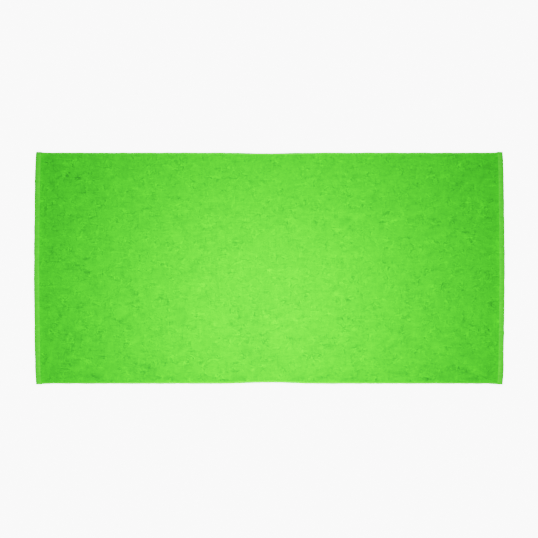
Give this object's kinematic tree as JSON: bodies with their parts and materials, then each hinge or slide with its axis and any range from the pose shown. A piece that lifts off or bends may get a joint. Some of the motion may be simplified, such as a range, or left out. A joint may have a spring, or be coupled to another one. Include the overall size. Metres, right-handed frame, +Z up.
{
  "type": "quick dry towel",
  "caption": "Rectangular terry towel with double-turned stitched hems, lying open and flat, that folds in half across its middle.",
  "frame": {"origin": "on the plane the towel lies on, under the middle of its outline", "axes": "+X along the length, towards the half that folds over; +Y along the width, towards the back long side; +Z up out of the face"},
  "size_m": [1.524, 0.752, 0.0057],
  "materials": {
    "terry_pile": "matte",
    "ground_weave": "matte",
    "hem_cloth": "matte",
    "sewing_thread": "satin"
  },
  "bodies": {
    "left_half": {"left_reverse_pile": "terry_pile", "left_face_pile": "terry_pile", "left_ground_weave": "ground_weave", "left_end_hem": "hem_cloth", "left_front_hem": "hem_cloth", "left_back_hem": "hem_cloth", "left_end_needle_thread": "sewing_thread", "left_end_bobbin_thread": "sewing_thread", "left_front_needle_thread": "sewing_thread", "left_front_bobbin_thread": "sewing_thread", "left_back_needle_thread": "sewing_thread", "left_back_bobbin_thread": "sewing_thread"},
    "right_half": {"right_reverse_pile": "terry_pile", "right_face_pile": "terry_pile", "right_ground_weave": "ground_weave", "right_end_hem": "hem_cloth", "right_front_hem": "hem_cloth", "right_back_hem": "hem_cloth", "right_end_needle_thread": "sewing_thread", "right_end_bobbin_thread": "sewing_thread", "right_front_needle_thread": "sewing_thread", "right_front_bobbin_thread": "sewing_thread", "right_back_needle_thread": "sewing_thread", "right_back_bobbin_thread": "sewing_thread"}
  },
  "joints": [
    {"name": "fold_in_half", "type": "hinge", "parent": "left_half", "child": "right_half", "pos_m": [0, 0, 0.0075], "axis": [0, -1, 0], "range_deg": [0, 179.5]}
  ]
}
